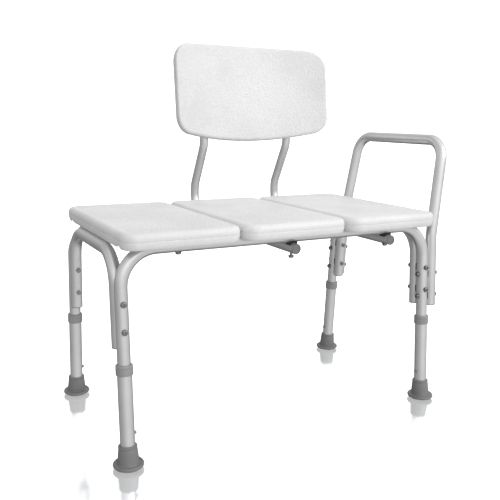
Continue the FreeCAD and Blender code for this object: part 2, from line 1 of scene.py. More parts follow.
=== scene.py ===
"""Looks of the bath transfer bench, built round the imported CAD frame.

Lengths are in millimetres in the bench's own frame, as in the part's source, and go
through place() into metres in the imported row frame.
"""
import json
import math

import bmesh
import bpy
from mathutils import Matrix, Vector

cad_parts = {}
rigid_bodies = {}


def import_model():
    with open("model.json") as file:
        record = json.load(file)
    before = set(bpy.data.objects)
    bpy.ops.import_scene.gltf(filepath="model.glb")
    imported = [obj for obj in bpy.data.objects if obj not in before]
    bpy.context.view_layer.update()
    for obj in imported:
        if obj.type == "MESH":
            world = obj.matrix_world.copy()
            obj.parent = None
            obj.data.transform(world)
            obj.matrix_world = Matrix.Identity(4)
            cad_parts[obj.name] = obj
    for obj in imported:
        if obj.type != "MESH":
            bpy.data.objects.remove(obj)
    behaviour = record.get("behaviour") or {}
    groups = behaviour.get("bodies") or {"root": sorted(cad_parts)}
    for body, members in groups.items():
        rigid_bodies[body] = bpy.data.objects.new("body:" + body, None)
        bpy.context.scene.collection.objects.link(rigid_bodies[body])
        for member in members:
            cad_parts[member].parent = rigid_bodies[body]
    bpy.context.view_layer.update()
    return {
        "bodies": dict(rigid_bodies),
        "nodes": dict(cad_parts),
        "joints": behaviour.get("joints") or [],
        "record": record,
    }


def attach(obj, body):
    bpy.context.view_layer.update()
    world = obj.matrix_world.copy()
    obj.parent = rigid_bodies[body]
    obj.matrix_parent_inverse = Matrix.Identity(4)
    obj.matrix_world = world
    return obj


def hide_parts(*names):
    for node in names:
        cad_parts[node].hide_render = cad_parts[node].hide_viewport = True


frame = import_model()

# Bench dimensions ----------------------------------------------------------------------------
SHIFT = Vector((-20.75, -57.4, 0.0))
FRAME_TUBE, FRAME_WALL = 25.4, 1.6
BACK_TUBE, BACK_WALL = 22.2, 1.5
LEG_TUBE, LEG_BORE = 28.6, 26.0
LEG_X, LEG_FLOOR_Y = 366.7, 197.3
SPLAY = math.radians(3.69)
RAIL_Z, MAIN_BEND, INNER_TUBE_END = 419.5, 71.5, 53.0
SIDE_X, SIDE_OFFSET, SIDE_RAIL_Z, SIDE_END, SIDE_BEND = 368.3, 26.2, 409.3, 230.0, 65.0
GRIP_OFFSET, GRIP_END, GRIP_KINK_Z = 25.9, 229.0, 394.0
GRIP_TOP_X, GRIP_TOP_Z, GRIP_BEND, GRIP_KINK_BEND = 425.5, 614.4, 48.0, 60.0
LOCK_HEIGHT, HOLE_PITCH, HOLE_COUNT, HOLE_RADIUS = 67.2, 25.4, 5, 3.7
TUBE_START, TUBE_END = 10.0, 200.0
COLLAR_START, COLLAR_END, COLLAR_RADIUS = 184.4, 204.4, 16.6
FOOT_TOP, FOOT_RADIUS, FOOT_FLOOR = 45.5, 30.0, 8.0
PANEL_WIDTH, PANEL_PITCH, PANEL_DEPTH, PANEL_CORNER, PANEL_EDGE = 243.0, 250.0, 431.0, 30.0, 11.0
SEAT_TOP, SEAT_BOTTOM, SKIRT, SKIRT_DROP, GROOVE_Z = 455.3, 423.0, 6.0, 2.6, 438.6
POCKET, POCKET_DEPTH, POCKET_PITCH_X, POCKET_PITCH_Y = 62.0, 21.5, 70.0, 72.0
BACK_TUBE_Z, BACK_TUBE_FRONT, BACK_TUBE_REAR, BACK_TUBE_BEND = 394.8, -189.0, 331.0, 62.0
SWAN_BOTTOM_Z, SWAN_TOP_Y, SWAN_TOP_Z, SWAN_BEND = 479.5, 269.0, 592.0, 45.0
RECLINE, POST_TOP = math.radians(7.0), 204.0
BACKREST_WIDTH, BACKREST_TOP, BACKREST_BOTTOM = 441.0, 254.0, 6.5
BACKREST_CROWN, BACKREST_SAG = 1795.0, 1150.0
BACKREST_TOP_CORNER, BACKREST_LOW_CORNER, BACKREST_EDGE = 52.0, 43.0, 8.0
BACKREST_THICK, BACKREST_CURVE, BACKREST_FRONT = 25.0, 450.0, 14.0

LEFT, RIGHT = -1, 1
FRONT, BACK = -1, 1
LEGS = {
    "front_left": (LEFT, FRONT),
    "front_right": (RIGHT, FRONT),
    "back_left": (LEFT, BACK),
    "back_right": (RIGHT, BACK),
}
PANELS = {"left": -PANEL_PITCH, "middle": 0.0, "right": PANEL_PITCH}
POSTS = {"left": 5.0, "right": 255.0}


def place(point):
    """Bench millimetres to metres in the row frame."""
    return (Vector(point) + SHIFT) / 1000.0


def leg_y(height):
    return LEG_FLOOR_Y - height * math.tan(SPLAY)


RAIL_Y = leg_y(RAIL_Z)


def leg_matrix(side, row):
    """Leg frame: Z up the leaning leg, in bench millimetres."""
    return Matrix.Translation((side * LEG_X, row * LEG_FLOOR_Y, 0)) @ Matrix.Rotation(row * SPLAY, 4, "X")


def post_matrix(post_x):
    return Matrix.Translation((post_x, SWAN_TOP_Y, SWAN_TOP_Z)) @ Matrix.Rotation(-RECLINE, 4, "X")


# Materials -----------------------------------------------------------------------------------
def bare_material(name):
    """Material with nothing in its node tree but an output; gives the material, tree and surface socket."""
    material = bpy.data.materials.new(name)
    material.use_nodes = True
    tree = material.node_tree
    tree.nodes.clear()
    output = tree.nodes.new("ShaderNodeOutputMaterial")
    return material, tree, output.inputs["Surface"]


def combine(tree, operation, first, second):
    """Math node on two values, each a number or another node's output."""
    node = tree.nodes.new("ShaderNodeMath")
    node.operation = operation
    for socket, value in zip(node.inputs, (first, second)):
        if isinstance(value, (int, float)):
            socket.default_value = value
        else:
            tree.links.new(value, socket)
    return node.outputs["Value"]


class Nodes:
    """Small helper for wiring a procedural material."""

    def __init__(self, name):
        self.material, self.tree, surface = bare_material(name)
        self.shader = self.tree.nodes.new("ShaderNodeBsdfPrincipled")
        self.link(self.shader.outputs["BSDF"], surface)
        self.coordinates = self.tree.nodes.new("ShaderNodeTexCoord")

    def link(self, source, target):
        self.tree.links.new(source, target)

    def set(self, **values):
        for name, value in values.items():
            self.shader.inputs[name.replace("_", " ")].default_value = value

    def mapped(self, scale, kind="Object"):
        mapping = self.tree.nodes.new("ShaderNodeMapping")
        mapping.inputs["Scale"].default_value = scale
        self.link(self.coordinates.outputs[kind], mapping.inputs["Vector"])
        return mapping.outputs["Vector"]

    def noise(self, scale, detail=3.0, roughness=0.5, stretch=(1, 1, 1), kind="Object"):
        node = self.tree.nodes.new("ShaderNodeTexNoise")
        node.inputs["Scale"].default_value = scale
        node.inputs["Detail"].default_value = detail
        node.inputs["Roughness"].default_value = roughness
        self.link(self.mapped(stretch, kind), node.inputs["Vector"])
        return node.outputs["Fac"]

    def voronoi(self, scale, stretch=(1, 1, 1)):
        node = self.tree.nodes.new("ShaderNodeTexVoronoi")
        node.feature = "SMOOTH_F1"
        node.inputs["Scale"].default_value = scale
        node.inputs["Smoothness"].default_value = 0.6
        self.link(self.mapped(stretch), node.inputs["Vector"])
        return node.outputs["Distance"]

    def ramp(self, factor, stops):
        node = self.tree.nodes.new("ShaderNodeValToRGB")
        elements = node.color_ramp.elements
        while len(elements) < len(stops):
            elements.new(0.5)
        for element, (position, colour) in zip(elements, stops):
            element.position = position
            element.color = (*colour, 1.0)
        self.link(factor, node.inputs["Fac"])
        return node.outputs["Color"]

    def remap(self, value, low, high, start=0.3, end=0.7):
        node = self.tree.nodes.new("ShaderNodeMapRange")
        node.inputs["From Min"].default_value = start
        node.inputs["From Max"].default_value = end
        node.inputs["To Min"].default_value = low
        node.inputs["To Max"].default_value = high
        self.link(value, node.inputs["Value"])
        return node.outputs["Result"]

    def math(self, operation, first, second):
        return combine(self.tree, operation, first, second)

    def bump(self, height, distance, strength):
        node = self.tree.nodes.new("ShaderNodeBump")
        node.inputs["Strength"].default_value = strength
        node.inputs["Distance"].default_value = distance
        self.link(height, node.inputs["Height"])
        return node.outputs["Normal"]


def grey(value):
    return (value, value, value * 1.01)


def anodised(name, dark, light, rough):
    """Satin anodised tube: fine drawn grain along the tube and slight cloudiness."""
    nodes = Nodes(name)
    grain = nodes.noise(1.0, 4.0, 0.6, (220.0, 2.5, 1.0), "UV")
    cloud = nodes.noise(18.0, 2.0)
    mixed = nodes.math("ADD", nodes.math("MULTIPLY", grain, 0.5), nodes.math("MULTIPLY", cloud, 0.5))
    nodes.link(nodes.ramp(mixed, [(0.3, grey(dark)), (0.7, grey(light))]), nodes.shader.inputs["Base Color"])
    nodes.link(nodes.remap(mixed, rough - 0.05, rough + 0.06), nodes.shader.inputs["Roughness"])
    nodes.link(nodes.bump(grain, 0.00002, 0.5), nodes.shader.inputs["Normal"])
    nodes.set(Metallic=0.85)
    return nodes.material


def moulded_white(name):
    """White blow-moulded plastic: pebbled where the mesh is marked as field, smooth at the rims."""
    nodes = Nodes(name)
    pebbles = nodes.voronoi(210.0)
    fine = nodes.noise(620.0, 2.0)
    skin = nodes.math("ADD", nodes.math("MULTIPLY", pebbles, -1.0), nodes.math("MULTIPLY", fine, 0.3))
    blotches = nodes.math("MULTIPLY", nodes.noise(9.0, 3.0), nodes.noise(150.0, 4.0, 0.7))
    nodes.link(
        nodes.ramp(blotches, [(0.14, (0.69, 0.69, 0.687)), (0.34, (0.77, 0.77, 0.769))]),
        nodes.shader.inputs["Base Color"],
    )
    field = nodes.tree.nodes.new("ShaderNodeAttribute")
    field.attribute_name = "field"
    share = nodes.remap(field.outputs["Fac"], 0.08, 1.0, 0.0, 1.0)
    nodes.link(nodes.bump(nodes.math("MULTIPLY", skin, share), 0.0012, 0.9), nodes.shader.inputs["Normal"])
    nodes.link(nodes.remap(fine, 0.38, 0.5), nodes.shader.inputs["Roughness"])
    nodes.set(IOR=1.5)
    return nodes.material


def plain_plastic(name, dark, light, rough, scale=260.0):
    """Moulded plastic or rubber: faint mottling and a fine matt skin."""
    nodes = Nodes(name)
    tone = nodes.noise(35.0, 4.0)
    nodes.link(nodes.ramp(tone, [(0.3, grey(dark)), (0.7, grey(light))]), nodes.shader.inputs["Base Color"])
    fine = nodes.noise(scale, 3.0)
    nodes.link(nodes.bump(fine, 0.0001, 0.4), nodes.shader.inputs["Normal"])
    nodes.link(nodes.remap(fine, rough - 0.06, rough + 0.06), nodes.shader.inputs["Roughness"])
    return nodes.material


def plated(name, dark, light, rough):
    """Plated steel or brass with faint handling marks."""
    nodes = Nodes(name)
    marks = nodes.noise(300.0, 5.0, 0.65)
    nodes.link(nodes.ramp(marks, [(0.3, dark), (0.7, light)]), nodes.shader.inputs["Base Color"])
    nodes.link(nodes.remap(marks, rough - 0.08, rough + 0.1), nodes.shader.inputs["Roughness"])
    nodes.link(nodes.bump(marks, 0.00003, 0.5), nodes.shader.inputs["Normal"])
    nodes.set(Metallic=1.0)
    return nodes.material


MATERIALS = {
    "anodised_tube": anodised("anodised_tube", 0.66, 0.74, 0.36),
    "leg_tube": anodised("leg_tube", 0.64, 0.72, 0.38),
    "white_panel": moulded_white("white_panel"),
    "grey_rubber": plain_plastic("grey_rubber", 0.165, 0.195, 0.46),
    "grey_plastic": plain_plastic("grey_plastic", 0.16, 0.19, 0.5),
    "black_plastic": plain_plastic("black_plastic", 0.012, 0.02, 0.5),
    "zinc_steel": plated("zinc_steel", (0.20, 0.20, 0.20), (0.34, 0.34, 0.335), 0.15),
    "spring_steel": plated("spring_steel", (0.34, 0.34, 0.35), (0.44, 0.44, 0.45), 0.4),
    "brass_insert": plated("brass_insert", (0.56, 0.42, 0.20), (0.70, 0.54, 0.28), 0.35),
}
COLLAR_LOOK = plain_plastic("collar_plastic", 0.26, 0.30, 0.45)
node_slots = {part["node"]: part["material_slot"] for part in frame["record"]["subparts"]}
for node_name, node in frame["nodes"].items():
    node.data.materials.clear()
    node.data.materials.append(MATERIALS[node_slots[node_name]])


# Mesh building -------------------------------------------------------------------------------
ROUND = 56


class Skin:
    """Vertices, faces and face-corner UVs gathered ring by ring."""

    def __init__(self):
        self.points, self.faces, self.uvs = [], [], []

    def ring(self, points):
        start = len(self.points)
        self.points += [Vector(point) for point in points]
        return list(range(start, len(self.points)))

    def join(self, first, second, low=0.0, high=0.0):
        """Quads between two closed rings of the same count."""
        count = len(first)
        for index in range(count):
            after = (index + 1) % count
            self.faces.append((first[index], first[after], second[after], second[index]))
            left, right = index / count, (index + 1) / count
            self.uvs += [(left, low), (right, low), (right, high), (left, high)]

    def cap(self, ring, flip=False):
        self.faces.append(tuple(reversed(ring)) if flip else tuple(ring))
        self.uvs += [(0.5, 0.0)] * len(ring)

    def stack(self, rings, lengths=None, closed=False, cap_ends=True):
        lengths = lengths or [0.0] * len(rings)
        indexed = [self.ring(ring) for ring in rings]
        for first, second, low, high in zip(indexed, indexed[1:], lengths, lengths[1:]):
            self.join(first, second, low, high)
        if closed:
            self.join(indexed[-1], indexed[0], lengths[-1], lengths[0])
        elif cap_ends:
            self.cap(indexed[0], flip=True)
            self.cap(indexed[-1])
        return self

    def mesh(self, name):
        mesh = bpy.data.meshes.new(name)
        mesh.from_pydata([place(point) for point in self.points], [], self.faces)
        layer = mesh.uv_layers.new(name="along")
        for corner, uv in zip(layer.data, self.uvs):
            corner.uv = uv
        mesh.update()
        return mesh


def add_piece(name, skin, body, slot, nodes=(), cutters=(), sharp=38.0, look=None):
    """Turn a skin into a finished piece that stands for some CAD nodes."""
    mesh = skin.mesh(name) if isinstance(skin, Skin) else skin
    piece = bpy.data.objects.new(name, mesh)
    bpy.context.scene.collection.objects.link(piece)
    for cutter in cutters:
        cut_away(piece, cutter)
    outward_normals(piece.data)
    piece.data.shade_smooth()
    piece.data.set_sharp_from_angle(angle=math.radians(sharp))
    piece.data.materials.append(look or MATERIALS[slot])
    if nodes:
        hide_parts(*nodes)
    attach(piece, body)
    return piece


def outward_normals(mesh):
    working = bmesh.new()
    working.from_mesh(mesh)
    bmesh.ops.recalc_face_normals(working, faces=working.faces)
    working.to_mesh(mesh)
    working.free()


def cut_away(piece, skin):
    """Subtract a closed skin from a piece's mesh."""
    tool_mesh = skin.mesh("tool")
    outward_normals(tool_mesh)
    outward_normals(piece.data)
    tool = bpy.data.objects.new("tool", tool_mesh)
    bpy.context.scene.collection.objects.link(tool)
    modifier = piece.modifiers.new("cut", "BOOLEAN")
    modifier.operation = "DIFFERENCE"
    modifier.solver = "EXACT"
    modifier.object = tool
    bpy.context.view_layer.update()
    finished = piece.evaluated_get(bpy.context.evaluated_depsgraph_get())
    result = bpy.data.meshes.new_from_object(finished)
    piece.modifiers.remove(modifier)
    piece.data = result
    bpy.data.objects.remove(tool)


def circle(radius, count=ROUND):
    turn = 2 * math.pi / count
    return [(radius * math.cos(turn * step), radius * math.sin(turn * step)) for step in range(count)]


def rod(radius, start, end, count=ROUND):
    """Closed cylinder between two bench points, used to cut holes."""
    start, end = Vector(start), Vector(end)
    turned = (end - start).to_track_quat("Z", "Y")
    rings = [[point + turned @ Vector((x, y, 0)) for x, y in circle(radius, count)] for point in (start, end)]
    return Skin().stack(rings)


def turned_rings(profile, matrix_at, count=ROUND):
    """Rings of a lathe profile of (radius, height), each set in its own frame."""
    return [
        [matrix_at(height) @ Vector((x, y, height)) for x, y in circle(radius, count)]
        for radius, height in profile
    ]


def softened(profile, reach=0.7):
    """Replace each corner of an open profile by two points a short way along its sides."""
    corners = [Vector(point) for point in profile]
    soft = [tuple(corners[0])]
    for before, corner, after in zip(corners, corners[1:], corners[2:]):
        for neighbour in (before, after):
            side = neighbour - corner
            soft.append(tuple(corner + side * min(reach / side.length, 0.45)))
    soft.append(tuple(corners[-1]))
    return soft


def tube_line(points, bends, step_angle=4.0, straight=30.0):
    """Points and directions along a path with a round bend at each inner corner."""
    corners = [Vector(point) for point in points]
    line, start = [], corners[0]
    for before, corner, after, bend in zip(corners, corners[1:], corners[2:], bends):
        inward, outward = (corner - before).normalized(), (after - corner).normalized()
        turn = inward.angle(outward)
        enter = corner - inward * (bend * math.tan(turn / 2))
        steps = max(2, math.ceil((enter - start).length / straight))
        line += [(start.lerp(enter, index / steps), inward) for index in range(steps)]
        towards_centre = (outward - inward * inward.dot(outward)).normalized()
        steps = max(2, math.ceil(math.degrees(turn) / step_angle))
        for index in range(steps):
            angle = turn * index / steps
            forth, aside = bend * math.sin(angle), bend * (1 - math.cos(angle))
            point = enter + inward * forth + towards_centre * aside
            line.append((point, inward * math.cos(angle) + towards_centre * math.sin(angle)))
        start = corner + outward * (bend * math.tan(turn / 2))
    outward = (corners[-1] - start).normalized()
    steps = max(2, math.ceil((corners[-1] - start).length / straight))
    line += [(start.lerp(corners[-1], index / steps), outward) for index in range(steps + 1)]
    return line


def tube_skin(points, bends, diameter, wall, lip=0.35):
    """Open-ended round tube along a bent path, with softened rims."""
    line = tube_line(points, bends)
    outer, inner = diameter / 2, diameter / 2 - wall
    side = line[0][1].orthogonal().normalized()
    frames, travelled, previous = [], 0.0, line[0][0]
    for point, direction in line:
        side = (side - direction * side.dot(direction)).normalized()
        travelled += (point - previous).length
        frames.append((point, direction, side, direction.cross(side), travelled / 1000.0))
        previous = point

    def ring(frame, radius, nudge=0.0):
        point, direction, first, second, _ = frame
        return [point + direction * nudge + first * x + second * y for x, y in circle(radius)]

    first, last = frames[0], frames[-1]
    rings = [ring(first, outer - lip), ring(first, outer, lip)]
    rings += [ring(frame, outer) for frame in frames[1:-1]]
    rings += [ring(last, outer, -lip), ring(last, outer - lip)]
    rings += [ring(last, inner + lip), ring(last, inner, -lip)]
    rings += [ring(frame, inner) for frame in reversed(frames[1:-1])]
    rings += [ring(first, inner, lip), ring(first, inner + lip)]
    lengths = [0.0, 0.0] + [frame[4] for frame in frames[1:-1]] + [last[4]] * 4
    lengths += [frame[4] for frame in reversed(frames[1:-1])] + [0.0, 0.0]
    return Skin().stack(rings, lengths, closed=True)


# Frame tubes ---------------------------------------------------------------------------------
def leg_rod(side, row, radius, start, end):
    matrix = leg_matrix(side, row)
    return rod(radius, matrix @ Vector(start), matrix @ Vector(end), 20)


for row_name, row in (("front", FRONT), ("back", BACK)):
    corners = [
        (-LEG_X, row * leg_y(INNER_TUBE_END), INNER_TUBE_END),
        (-LEG_X, row * RAIL_Y, RAIL_Z),
        (LEG_X, row * RAIL_Y, RAIL_Z),
        (LEG_X, row * leg_y(INNER_TUBE_END), INNER_TUBE_END),
    ]
    locks = [
        leg_rod(side, row, HOLE_RADIUS, (0, 0, LOCK_HEIGHT), (-side * 20, 0, LOCK_HEIGHT))
        for side in (LEFT, RIGHT)
    ]
    add_piece(
        "main_frame_" + row_name, tube_skin(corners, [MAIN_BEND, MAIN_BEND], FRAME_TUBE, FRAME_WALL),
        "frame", "anodised_tube", [row_name + "_frame"], locks,
    )


def side_leg_y(height):
    return leg_y(height) - SIDE_OFFSET / math.cos(SPLAY)


side_end_z = SIDE_END * math.cos(SPLAY)
for side_name, side in (("left", LEFT), ("right", RIGHT)):
    x = side * SIDE_X
    corners = [
        (x, -side_leg_y(side_end_z), side_end_z),
        (x, -side_leg_y(SIDE_RAIL_Z), SIDE_RAIL_Z),
        (x, side_leg_y(SIDE_RAIL_Z), SIDE_RAIL_Z),
        (x, side_leg_y(side_end_z), side_end_z),
    ]
    add_piece(
        "side_frame_" + side_name, tube_skin(corners, [SIDE_BEND, SIDE_BEND], FRAME_TUBE, FRAME_WALL),
        "frame", "anodised_tube", [side_name + "_side_frame"],
    )

grip_x = LEG_X + GRIP_OFFSET
grip_end_z = GRIP_END * math.cos(SPLAY)
front_half = [
    (grip_x, -leg_y(grip_end_z), grip_end_z),
    (grip_x, -leg_y(GRIP_KINK_Z), GRIP_KINK_Z),
    (GRIP_TOP_X, -leg_y(GRIP_TOP_Z), GRIP_TOP_Z),
]
back_half = [(x, -y, z) for x, y, z in reversed(front_half)]
grip_bends = [GRIP_KINK_BEND, GRIP_BEND, GRIP_BEND, GRIP_KINK_BEND]
add_piece(
    "handrail_tube", tube_skin(front_half + back_half, grip_bends, FRAME_TUBE, FRAME_WALL),
    "frame", "anodised_tube", ["handrail"],
)

for name, post_x in POSTS.items():
    corners = [
        (post_x, BACK_TUBE_FRONT, BACK_TUBE_Z),
        (post_x, BACK_TUBE_REAR, BACK_TUBE_Z),
        (post_x, BACK_TUBE_REAR, SWAN_BOTTOM_Z),
        (post_x, SWAN_TOP_Y, SWAN_TOP_Z),
        post_matrix(post_x) @ Vector((0, 0, POST_TOP)),
    ]
    add_piece(
        "back_post_" + name,
        tube_skin(corners, [BACK_TUBE_BEND, SWAN_BEND, SWAN_BEND], BACK_TUBE, BACK_WALL),
        "frame", "anodised_tube", ["backrest_tube_" + name],
    )

# Seat panels ---------------------------------------------------------------------------------
CORNER_STEPS = 10
PANEL_SHARP = 32.0
CHANNEL_GAP = 0.15


def rounded_rectangle(half_x, half_y, corner, z, centre=(0.0, 0.0)):
    """Points round a rectangle with rounded corners, the same count at any size."""
    outline = []
    for quarter, (sign_x, sign_y) in enumerate(((1, 1), (-1, 1), (-1, -1), (1, -1))):
        for step in range(CORNER_STEPS + 1):
            angle = math.radians(90 * quarter + 90 * step / CORNER_STEPS)
            outline.append(Vector((
                centre[0] + sign_x * (half_x - corner) + corner * math.cos(angle),
                centre[1] + sign_y * (half_y - corner) + corner * math.sin(angle),
                z,
            )))
    return outline


def panel_profile():
    """(inset, height) pairs from the crowned top round the edge to the sunken underside."""
    crown = 0.8
    top = [(inset, SEAT_TOP - crown * (1 - inset / 100) ** 3) for inset in (100, 70, 45, 30, 20, 14)]
    shoulder = SEAT_TOP - crown * 0.66
    edge = []
    for step in range(9):
        angle = math.radians(90 * step / 8)
        edge.append((
            PANEL_EDGE * (1 - math.sin(angle)),
            shoulder - PANEL_EDGE * (1 - math.cos(angle)),
        ))
    side = [
        (0.0, GROOVE_Z + 1.6), (0.25, GROOVE_Z + 0.8), (0.9, GROOVE_Z + 0.35), (0.9, GROOVE_Z - 0.35),
        (0.3, GROOVE_Z - 0.8), (0.15, GROOVE_Z - 1.6), (0.4, GROOVE_Z - 4.5), (0.9, SEAT_BOTTOM + 8.0),
        (1.7, SEAT_BOTTOM + 5.2), (2.7, SEAT_BOTTOM + 3.0), (3.7, SEAT_BOTTOM + 1.3),
        (4.5, SEAT_BOTTOM + 0.3), (5.0, SEAT_BOTTOM), (5.6, SEAT_BOTTOM + 0.2), (SKIRT, SEAT_BOTTOM + 0.8),
        (SKIRT + 0.4, SEAT_BOTTOM + SKIRT_DROP - 0.5), (SKIRT + 1.2, SEAT_BOTTOM + SKIRT_DROP),
    ]
    return top + edge + side


def panel_skin(panel_x):
    rings = []
    for inset, height in panel_profile():
        corner = max(PANEL_CORNER - inset, 4.0)
        rings.append(rounded_rectangle(
            PANEL_WIDTH / 2 - inset, PANEL_DEPTH / 2 - inset, corner, height, (panel_x, 0.0)
        ))
    return Skin().stack(rings)


def pocket_skin(x, y):
    """Drafted pocket with a rounded ceiling, cut up into a panel from below."""
    base = SEAT_BOTTOM + SKIRT_DROP
    levels = [(-1.0, -6.0), (-1.0, -0.6), (0.0, 0.6), (0.9, POCKET_DEPTH - 3.0), (1.8, POCKET_DEPTH - 1.0),
              (3.6, POCKET_DEPTH)]
    rings = [
        rounded_rectangle(POCKET / 2 - inset, POCKET / 2 - inset, 8.0 - inset * 0.5, base + rise, (x, y))
        for inset, rise in levels
    ]
    return Skin().stack(rings)


def mark_field(mesh, panel_x):
    """Mark the pebbled middle of a seat panel's top; its rim stays smooth."""
    field = mesh.attributes.new("field", "FLOAT", "POINT")
    for vertex, value in zip(mesh.vertices, field.data):
        bench = vertex.co * 1000.0 - SHIFT
        margin = min(PANEL_WIDTH / 2 - abs(bench.x - panel_x), PANEL_DEPTH / 2 - abs(bench.y))
        inside = min(max((margin - 12.0) / 8.0, 0.0), 1.0)
        value.value = inside if bench.z > SEAT_TOP - 2.0 else 0.0


for name, panel_x in PANELS.items():
    tools = []
    for column in (-1, 0, 1):
        for line in (-1.5, -0.5, 0.5, 1.5):
            tools.append(pocket_skin(panel_x + column * POCKET_PITCH_X, line * POCKET_PITCH_Y))
    for row in (FRONT, BACK):
        reach = Vector((PANEL_WIDTH, 0, 0))
        centre = Vector((panel_x, row * RAIL_Y, RAIL_Z))
        tools.append(rod(FRAME_TUBE / 2 + CHANNEL_GAP, centre - reach, centre + reach))
    panel = add_piece(
        "seat_moulding_" + name, panel_skin(panel_x), "frame", "white_panel",
        ["seat_panel_" + name], tools, PANEL_SHARP,
    )
    mark_field(panel.data, panel_x)

# Backrest ------------------------------------------------------------------------------------
def corner_arc(centre_x, centre_z, radius, start, end, steps=14):
    angles = [math.radians(start + (end - start) * step / steps) for step in range(steps + 1)]
    return [Vector((centre_x + radius * math.cos(a), centre_z + radius * math.sin(a))) for a in angles]


def backrest_outline():
    """Front view of the backrest as (x, z) points: arched top, bowed bottom, round corners."""
    half = BACKREST_WIDTH / 2

    def top_z(x):
        return BACKREST_TOP - BACKREST_CROWN + math.sqrt(BACKREST_CROWN ** 2 - x * x)

    def low_z(x):
        return BACKREST_BOTTOM + BACKREST_SAG - math.sqrt(BACKREST_SAG ** 2 - x * x)

    top_r, low_r = BACKREST_TOP_CORNER, BACKREST_LOW_CORNER
    top_tilt = math.degrees(math.asin((half - top_r) / (BACKREST_CROWN - top_r)))
    low_tilt = math.degrees(math.asin((half - low_r) / (BACKREST_SAG - low_r)))
    top_centre = BACKREST_TOP - BACKREST_CROWN + (BACKREST_CROWN - top_r) * math.cos(math.radians(top_tilt))
    low_centre = BACKREST_BOTTOM + BACKREST_SAG - (BACKREST_SAG - low_r) * math.cos(math.radians(low_tilt))
    top_run = half - top_r + top_r * math.sin(math.radians(top_tilt))
    low_run = half - low_r + low_r * math.sin(math.radians(low_tilt))
    outline = corner_arc(half - top_r, top_centre, top_r, 0, 90 - top_tilt)
    outline += [Vector((x, top_z(x))) for x in spread(top_run, -top_run, 26)]
    outline += corner_arc(-half + top_r, top_centre, top_r, 90 + top_tilt, 180)
    outline += [Vector((-half, z)) for z in spread(top_centre, low_centre, 12)]
    outline += corner_arc(-half + low_r, low_centre, low_r, 180, 270 - low_tilt)
    outline += [Vector((x, low_z(x))) for x in spread(-low_run, low_run, 26)]
    outline += corner_arc(half - low_r, low_centre, low_r, 270 + low_tilt, 360)
    outline += [Vector((half, z)) for z in spread(low_centre, top_centre, 12)]
    return outline


def spread(start, end, parts):
    """Values between two ends, leaving both ends out."""
    return [start + (end - start) * index / parts for index in range(1, parts)]


def inset_outline(outline, inset):
    moved = []
    for index, point in enumerate(outline):
        along = outline[(index + 1) % len(outline)] - outline[index - 1]
        moved.append(point + Vector((-along.y, along.x)).normalized() * inset)
    return moved


def backrest_skin(matrix):
    outline = backrest_outline()
    middle = Vector((0.0, (BACKREST_TOP + BACKREST_BOTTOM) / 2))
    pivot_y = -BACKREST_FRONT - BACKREST_CURVE

    def ring(points, depth):
        return [
            matrix @ Vector((p.x, pivot_y + math.sqrt((BACKREST_CURVE + depth) ** 2 - p.x * p.x), p.y))
            for p in points
        ]

    def scaled(points, share):
        return [middle + (point - middle) * share for point in points]

    edge, thick = BACKREST_EDGE, BACKREST_THICK
    field = inset_outline(outline, edge)
    shares = [0.03, 0.15, 0.3, 0.45, 0.6, 0.72, 0.82, 0.9, 0.96]
    rings = [ring(scaled(field, share), 0.0) for share in shares]
    turns = [math.radians(90 * step / 7) for step in range(8)]
    rings += [ring(inset_outline(outline, edge * (1 - math.sin(a))), edge * (1 - math.cos(a))) for a in turns]
    seam = thick / 2 + 1.5
    rings += [ring(inset_outline(outline, depth), seam + step) for depth, step in
              ((0.0, -0.9), (0.5, -0.35), (0.5, 0.35), (0.0, 0.9))]
    rings += [
        ring(inset_outline(outline, edge * (1 - math.sin(a))), thick - edge * (1 - math.cos(a)))
        for a in reversed(turns)
    ]
    rings += [ring(scaled(field, share), thick) for share in reversed(shares)]
    return Skin().stack(rings)


BACKREST_PEBBLES = 0.8
backrest_matrix = post_matrix((POSTS["left"] + POSTS["right"]) / 2)
half_gap = (POSTS["right"] - POSTS["left"]) / 2
channels = []
for side in (LEFT, RIGHT):
    low = backrest_matrix @ Vector((side * half_gap, 0, -12))
    high = backrest_matrix @ Vector((side * half_gap, 0, POST_TOP + 5))
    channels.append(rod(BACK_TUBE / 2 + CHANNEL_GAP, low, high))
backrest = add_piece(
    "backrest_moulding", backrest_skin(backrest_matrix), "frame", "white_panel",
    ["backrest_panel"], channels, PANEL_SHARP,
)
field = backrest.data.attributes.new("field", "FLOAT", "POINT")
for value in field.data:
    value.value = BACKREST_PEBBLES

# Legs ----------------------------------------------------------------------------------------
def foot_frame(side, row):
    """Frame at a height in a rubber foot: upright at the floor, leaning with the tube above."""
    upright = Matrix.Translation((side * LEG_X, row * LEG_FLOOR_Y, 0))
    leaning = leg_matrix(side, row)

    def at(height):
        share = min(max((height - 9.0) / 10.0, 0.0), 1.0)
        share = share * share * (3 - 2 * share)
        return upright.lerp(leaning, share)
    return at


def foot_skin(side, row):
    sole = [
        (4.0, 0.0), (7.6, 0.0), (8.4, 1.2), (10.2, 1.2), (11.0, 0.0), (14.6, 0.0), (15.4, 1.2), (17.2, 1.2),
        (18.0, 0.0), (20.4, 0.3), (23.8, 1.5), (27.0, 3.1), (29.0, 4.8), (FOOT_RADIUS, 7.0), (29.7, 8.9),
        (28.6, 10.3), (26.9, 10.9), (25.3, 10.7), (23.8, 10.1), (22.4, 10.1), (21.4, 11.0), (20.8, 13.0),
        (20.5, 14.6), (20.3, 18.0),
        (19.5, 27.0), (18.4, 38.8), (17.7, 39.6), (17.7, 40.7), (18.5, 41.5), (18.6, 43.9), (18.0, 45.1),
        (17.0, FOOT_TOP), (14.9, FOOT_TOP), (14.35, FOOT_TOP - 0.6), (14.35, FOOT_FLOOR), (4.0, FOOT_FLOOR),
    ]
    return Skin().stack(turned_rings(softened(sole, 0.45), foot_frame(side, row), 72))


